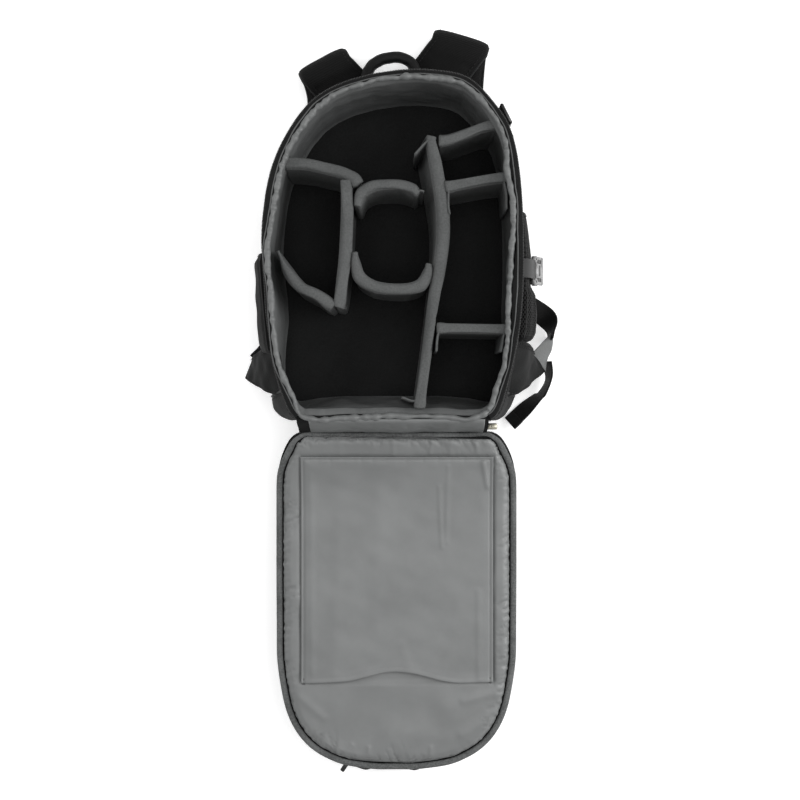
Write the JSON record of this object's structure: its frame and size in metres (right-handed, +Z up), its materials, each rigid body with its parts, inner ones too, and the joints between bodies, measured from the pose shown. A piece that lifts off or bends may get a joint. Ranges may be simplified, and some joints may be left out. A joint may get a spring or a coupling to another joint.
{
  "type": "camera backpack, lying open",
  "caption": "Padded camera backpack lying on its back with the zipped front lid folded down flat, showing padded dividers, side pockets, handle and shoulder straps.",
  "frame": {"origin": "middle of the upper back pad's rest face, level with the surface that the bag lies on", "axes": "+Z up out of the open main compartment, +Y towards the top handle, so the open lid lies towards -Y, +X to the side with the mesh pocket"},
  "size_m": [0.3632, 0.8613, 0.1515],
  "materials": {
    "shell_fabric": "matte woven polyester, near black",
    "lining_grey": "smooth light grey taffeta with a faint sheen",
    "lining_padded": "brushed dark grey loop lining over foam",
    "zip_tape": "dark grey woven zip tape and binding",
    "webbing": "ribbed black webbing",
    "air_mesh": "black spacer mesh",
    "black_plastic": "satin moulded plastic",
    "zip_metal": "dull nickel"
  },
  "bodies": {
    "root": {"outer_shell": "shell_fabric", "padded_lining": "lining_padded", "body_zip_tape": "zip_tape", "divider_main": "lining_padded", "divider_right_upper": "lining_padded", "divider_right_middle": "lining_padded", "divider_right_lower": "lining_padded", "divider_left_top": "lining_padded", "divider_left_side": "lining_padded", "divider_left_diagonal": "lining_padded", "divider_lens_upper": "lining_padded", "divider_lens_lower": "lining_padded", "lid_panel": "shell_fabric", "lid_lining": "lining_grey", "lid_zip_tape": "zip_tape", "lid_sleeve": "lining_grey", "front_pocket": "shell_fabric", "pocket_zip_pull": "black_plastic", "hinge_gusset": "lining_grey", "zip_slider": "zip_metal", "back_pad_upper": "air_mesh", "back_pad_lower": "air_mesh", "strap_yoke": "shell_fabric", "shoulder_strap_left": "shell_fabric", "shoulder_strap_right": "shell_fabric", "strap_adjuster_left": "black_plastic", "strap_adjuster_right": "black_plastic", "wing_left": "shell_fabric", "wing_right": "shell_fabric", "strap_webbing_left": "webbing", "strap_webbing_right": "webbing", "strap_tail_right": "webbing", "top_handle": "webbing", "side_pocket_right": "air_mesh", "side_pocket_left": "shell_fabric", "side_strap_upper": "webbing", "side_buckle_socket": "black_plastic", "side_buckle_plug": "black_plastic", "side_strap_lower": "webbing", "upper_strap": "webbing", "upper_ring": "black_plastic"}
  },
  "joints": []
}
